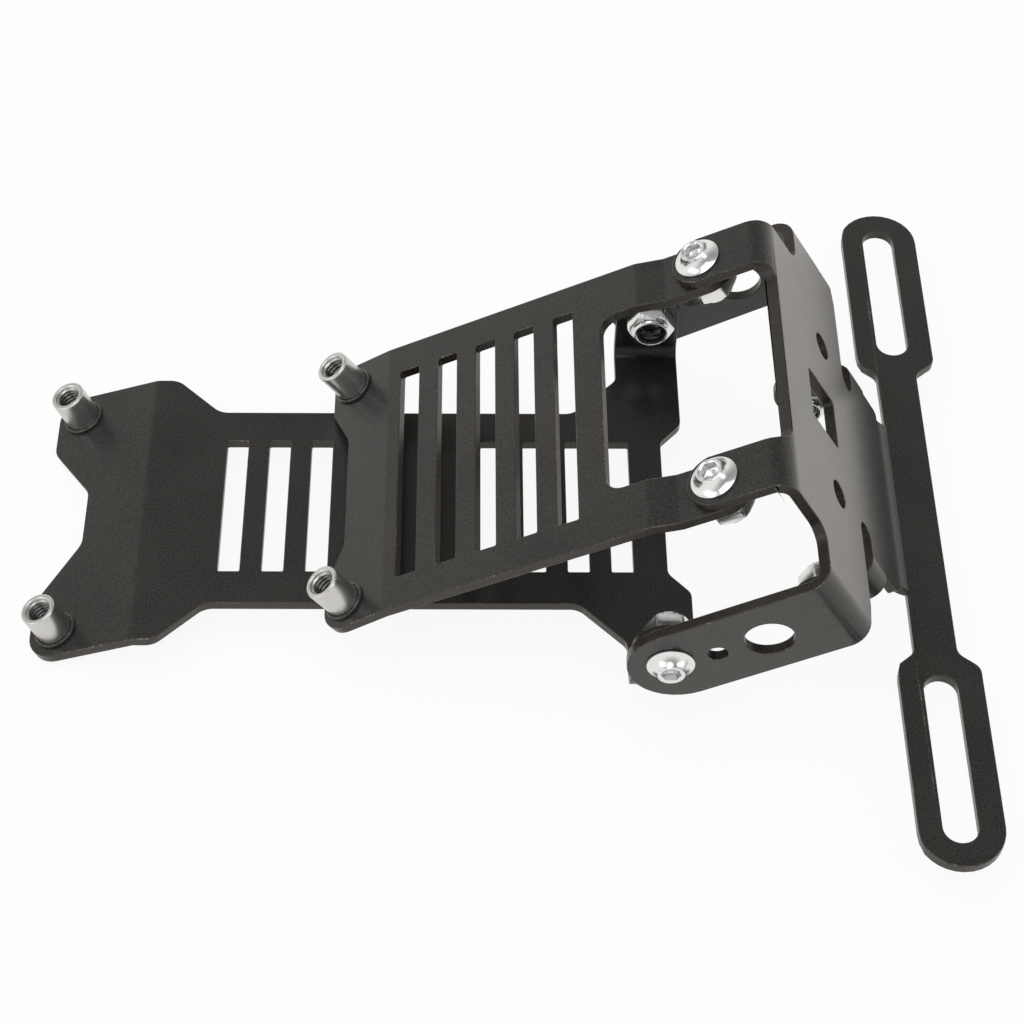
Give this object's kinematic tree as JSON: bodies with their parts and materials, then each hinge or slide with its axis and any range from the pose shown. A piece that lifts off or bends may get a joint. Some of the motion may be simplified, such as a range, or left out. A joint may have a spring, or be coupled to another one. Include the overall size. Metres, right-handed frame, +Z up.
{
  "type": "tail tidy",
  "caption": "Tail tidy bracket for a motorcycle: slotted lower and upper plates, folded face with cheeks and a slotted bar for the number plate.",
  "frame": {"origin": "middle of the two number plate slots, on the top face of the bar", "axes": "+X from the plates towards the bar, +Y across, +Z up, square to the lower plate"},
  "size_m": [0.2141, 0.1914, 0.0666],
  "materials": {
    "powder_coat": "satin black powder coat with a fine texture",
    "stainless": "bright turned stainless steel",
    "zinc_steel": "plated turned steel",
    "dark_ring": "black coat",
    "nylon": "dark nylon"
  },
  "bodies": {
    "root": {"lower_plate": "powder_coat", "upper_plate": "powder_coat", "bracket": "powder_coat", "lower_standoff_near": "zinc_steel", "lower_standoff_far": "zinc_steel", "upper_standoff_near": "zinc_steel", "upper_standoff_far": "zinc_steel", "lower_ring_near": "dark_ring", "lower_ring_far": "dark_ring", "upper_ring_near": "dark_ring", "upper_ring_far": "dark_ring", "tab_screw_near": "stainless", "tab_nut_near": "stainless", "tab_insert_near": "nylon", "tab_screw_far": "stainless", "tab_nut_far": "stainless", "tab_insert_far": "nylon", "pivot_screw_near": "stainless", "pivot_nut_near": "stainless", "pivot_insert_near": "nylon", "pivot_screw_far": "stainless", "pivot_nut_far": "stainless", "pivot_insert_far": "nylon", "ear_screw_near": "stainless", "ear_nut_near": "stainless", "ear_insert_near": "nylon", "ear_screw_far": "stainless", "ear_nut_far": "stainless", "ear_insert_far": "nylon"}
  },
  "joints": []
}
